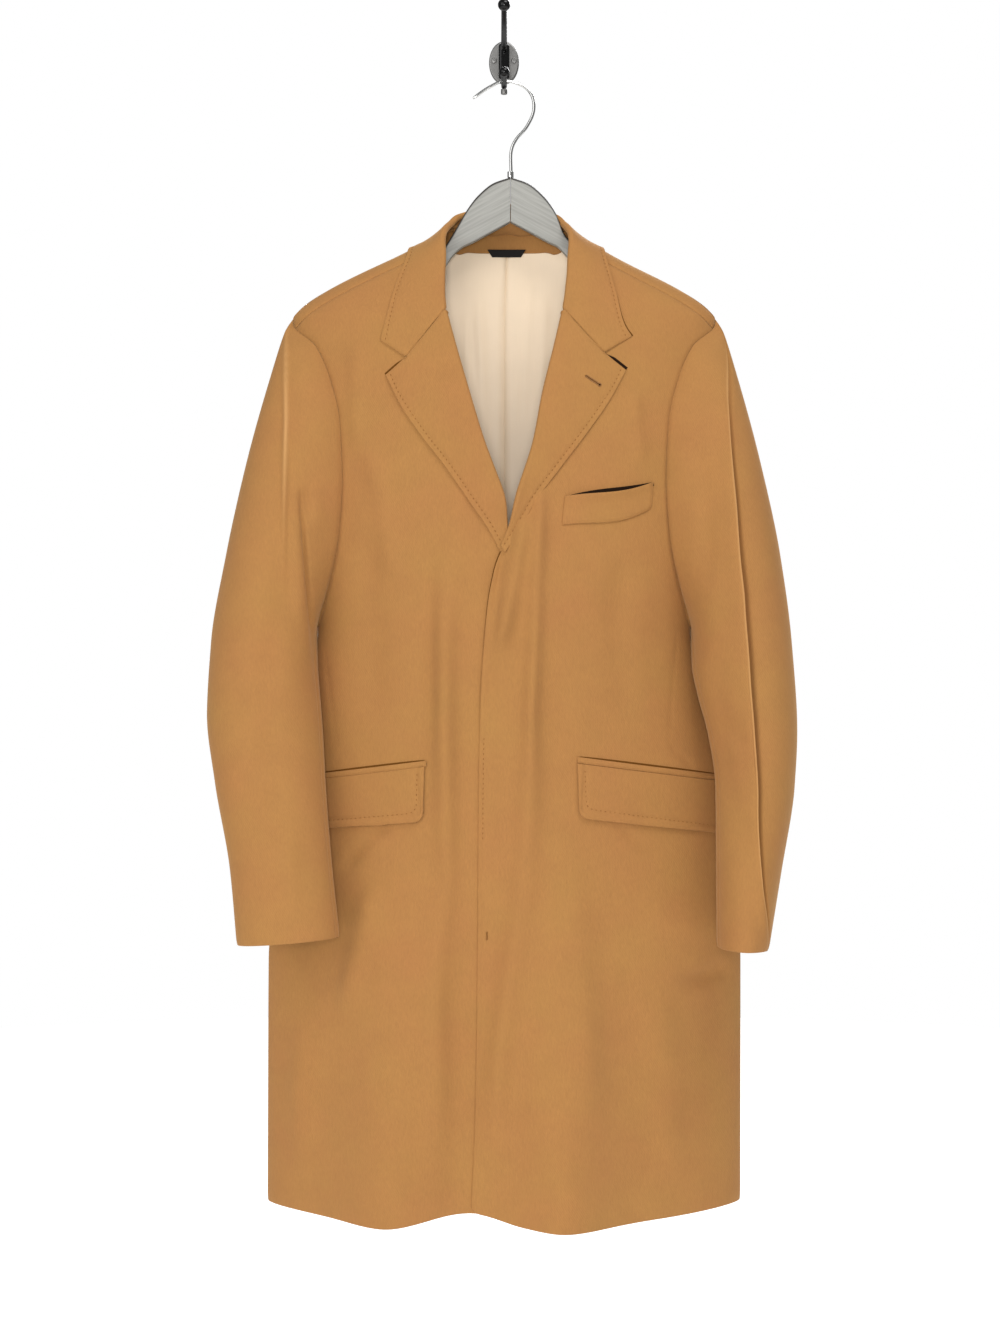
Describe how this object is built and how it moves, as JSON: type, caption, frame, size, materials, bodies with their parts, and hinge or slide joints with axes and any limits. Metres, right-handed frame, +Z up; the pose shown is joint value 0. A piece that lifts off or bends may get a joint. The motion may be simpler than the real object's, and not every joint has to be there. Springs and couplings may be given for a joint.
{
  "type": "topcoat on a wooden hanger and wall hook",
  "caption": "Camel wool topcoat with notch lapels, hidden front buttons and flap pockets, on a flat wooden hanger that hangs on a black wall hook.",
  "frame": {"origin": "centre of the wall hook's back plate, on the wall", "axes": "+Y into the wall, so the coat's front faces -Y; +Z up; +X to the viewer's right when facing the coat"},
  "size_m": [0.6323, 0.238, 1.3218],
  "materials": {
    "camel_wool": "napped",
    "cream_lining": "satin",
    "black_label": "matt",
    "washed_wood": "matt",
    "chrome_wire": "polished",
    "black_enamel": "satin",
    "grey_metal": "satin"
  },
  "bodies": {
    "root": {"back_left": "camel_wool", "back_neck_facing": "camel_wool", "back_right": "camel_wool", "breast_welt": "camel_wool", "collar_fall": "camel_wool", "collar_stand": "camel_wool", "flap_left": "camel_wool", "flap_right": "camel_wool", "front_left": "camel_wool", "front_right": "camel_wool", "hanger_arm_left": "washed_wood", "hanger_arm_right": "washed_wood", "hanger_ferrule": "chrome_wire", "hanger_hook": "chrome_wire", "hook_boss": "black_enamel", "hook_lower_arm": "black_enamel", "hook_peg": "grey_metal", "hook_plate": "grey_metal", "hook_screw_left": "grey_metal", "hook_screw_right": "grey_metal", "hook_upper_arm": "black_enamel", "jet_left": "camel_wool", "jet_right": "camel_wool", "lapel_left": "camel_wool", "lapel_right": "camel_wool", "lining_left": "cream_lining", "lining_right": "cream_lining", "neck_label": "black_label", "top_sleeve_left": "camel_wool", "top_sleeve_right": "camel_wool", "under_sleeve_left": "camel_wool", "under_sleeve_right": "camel_wool"}
  },
  "joints": []
}
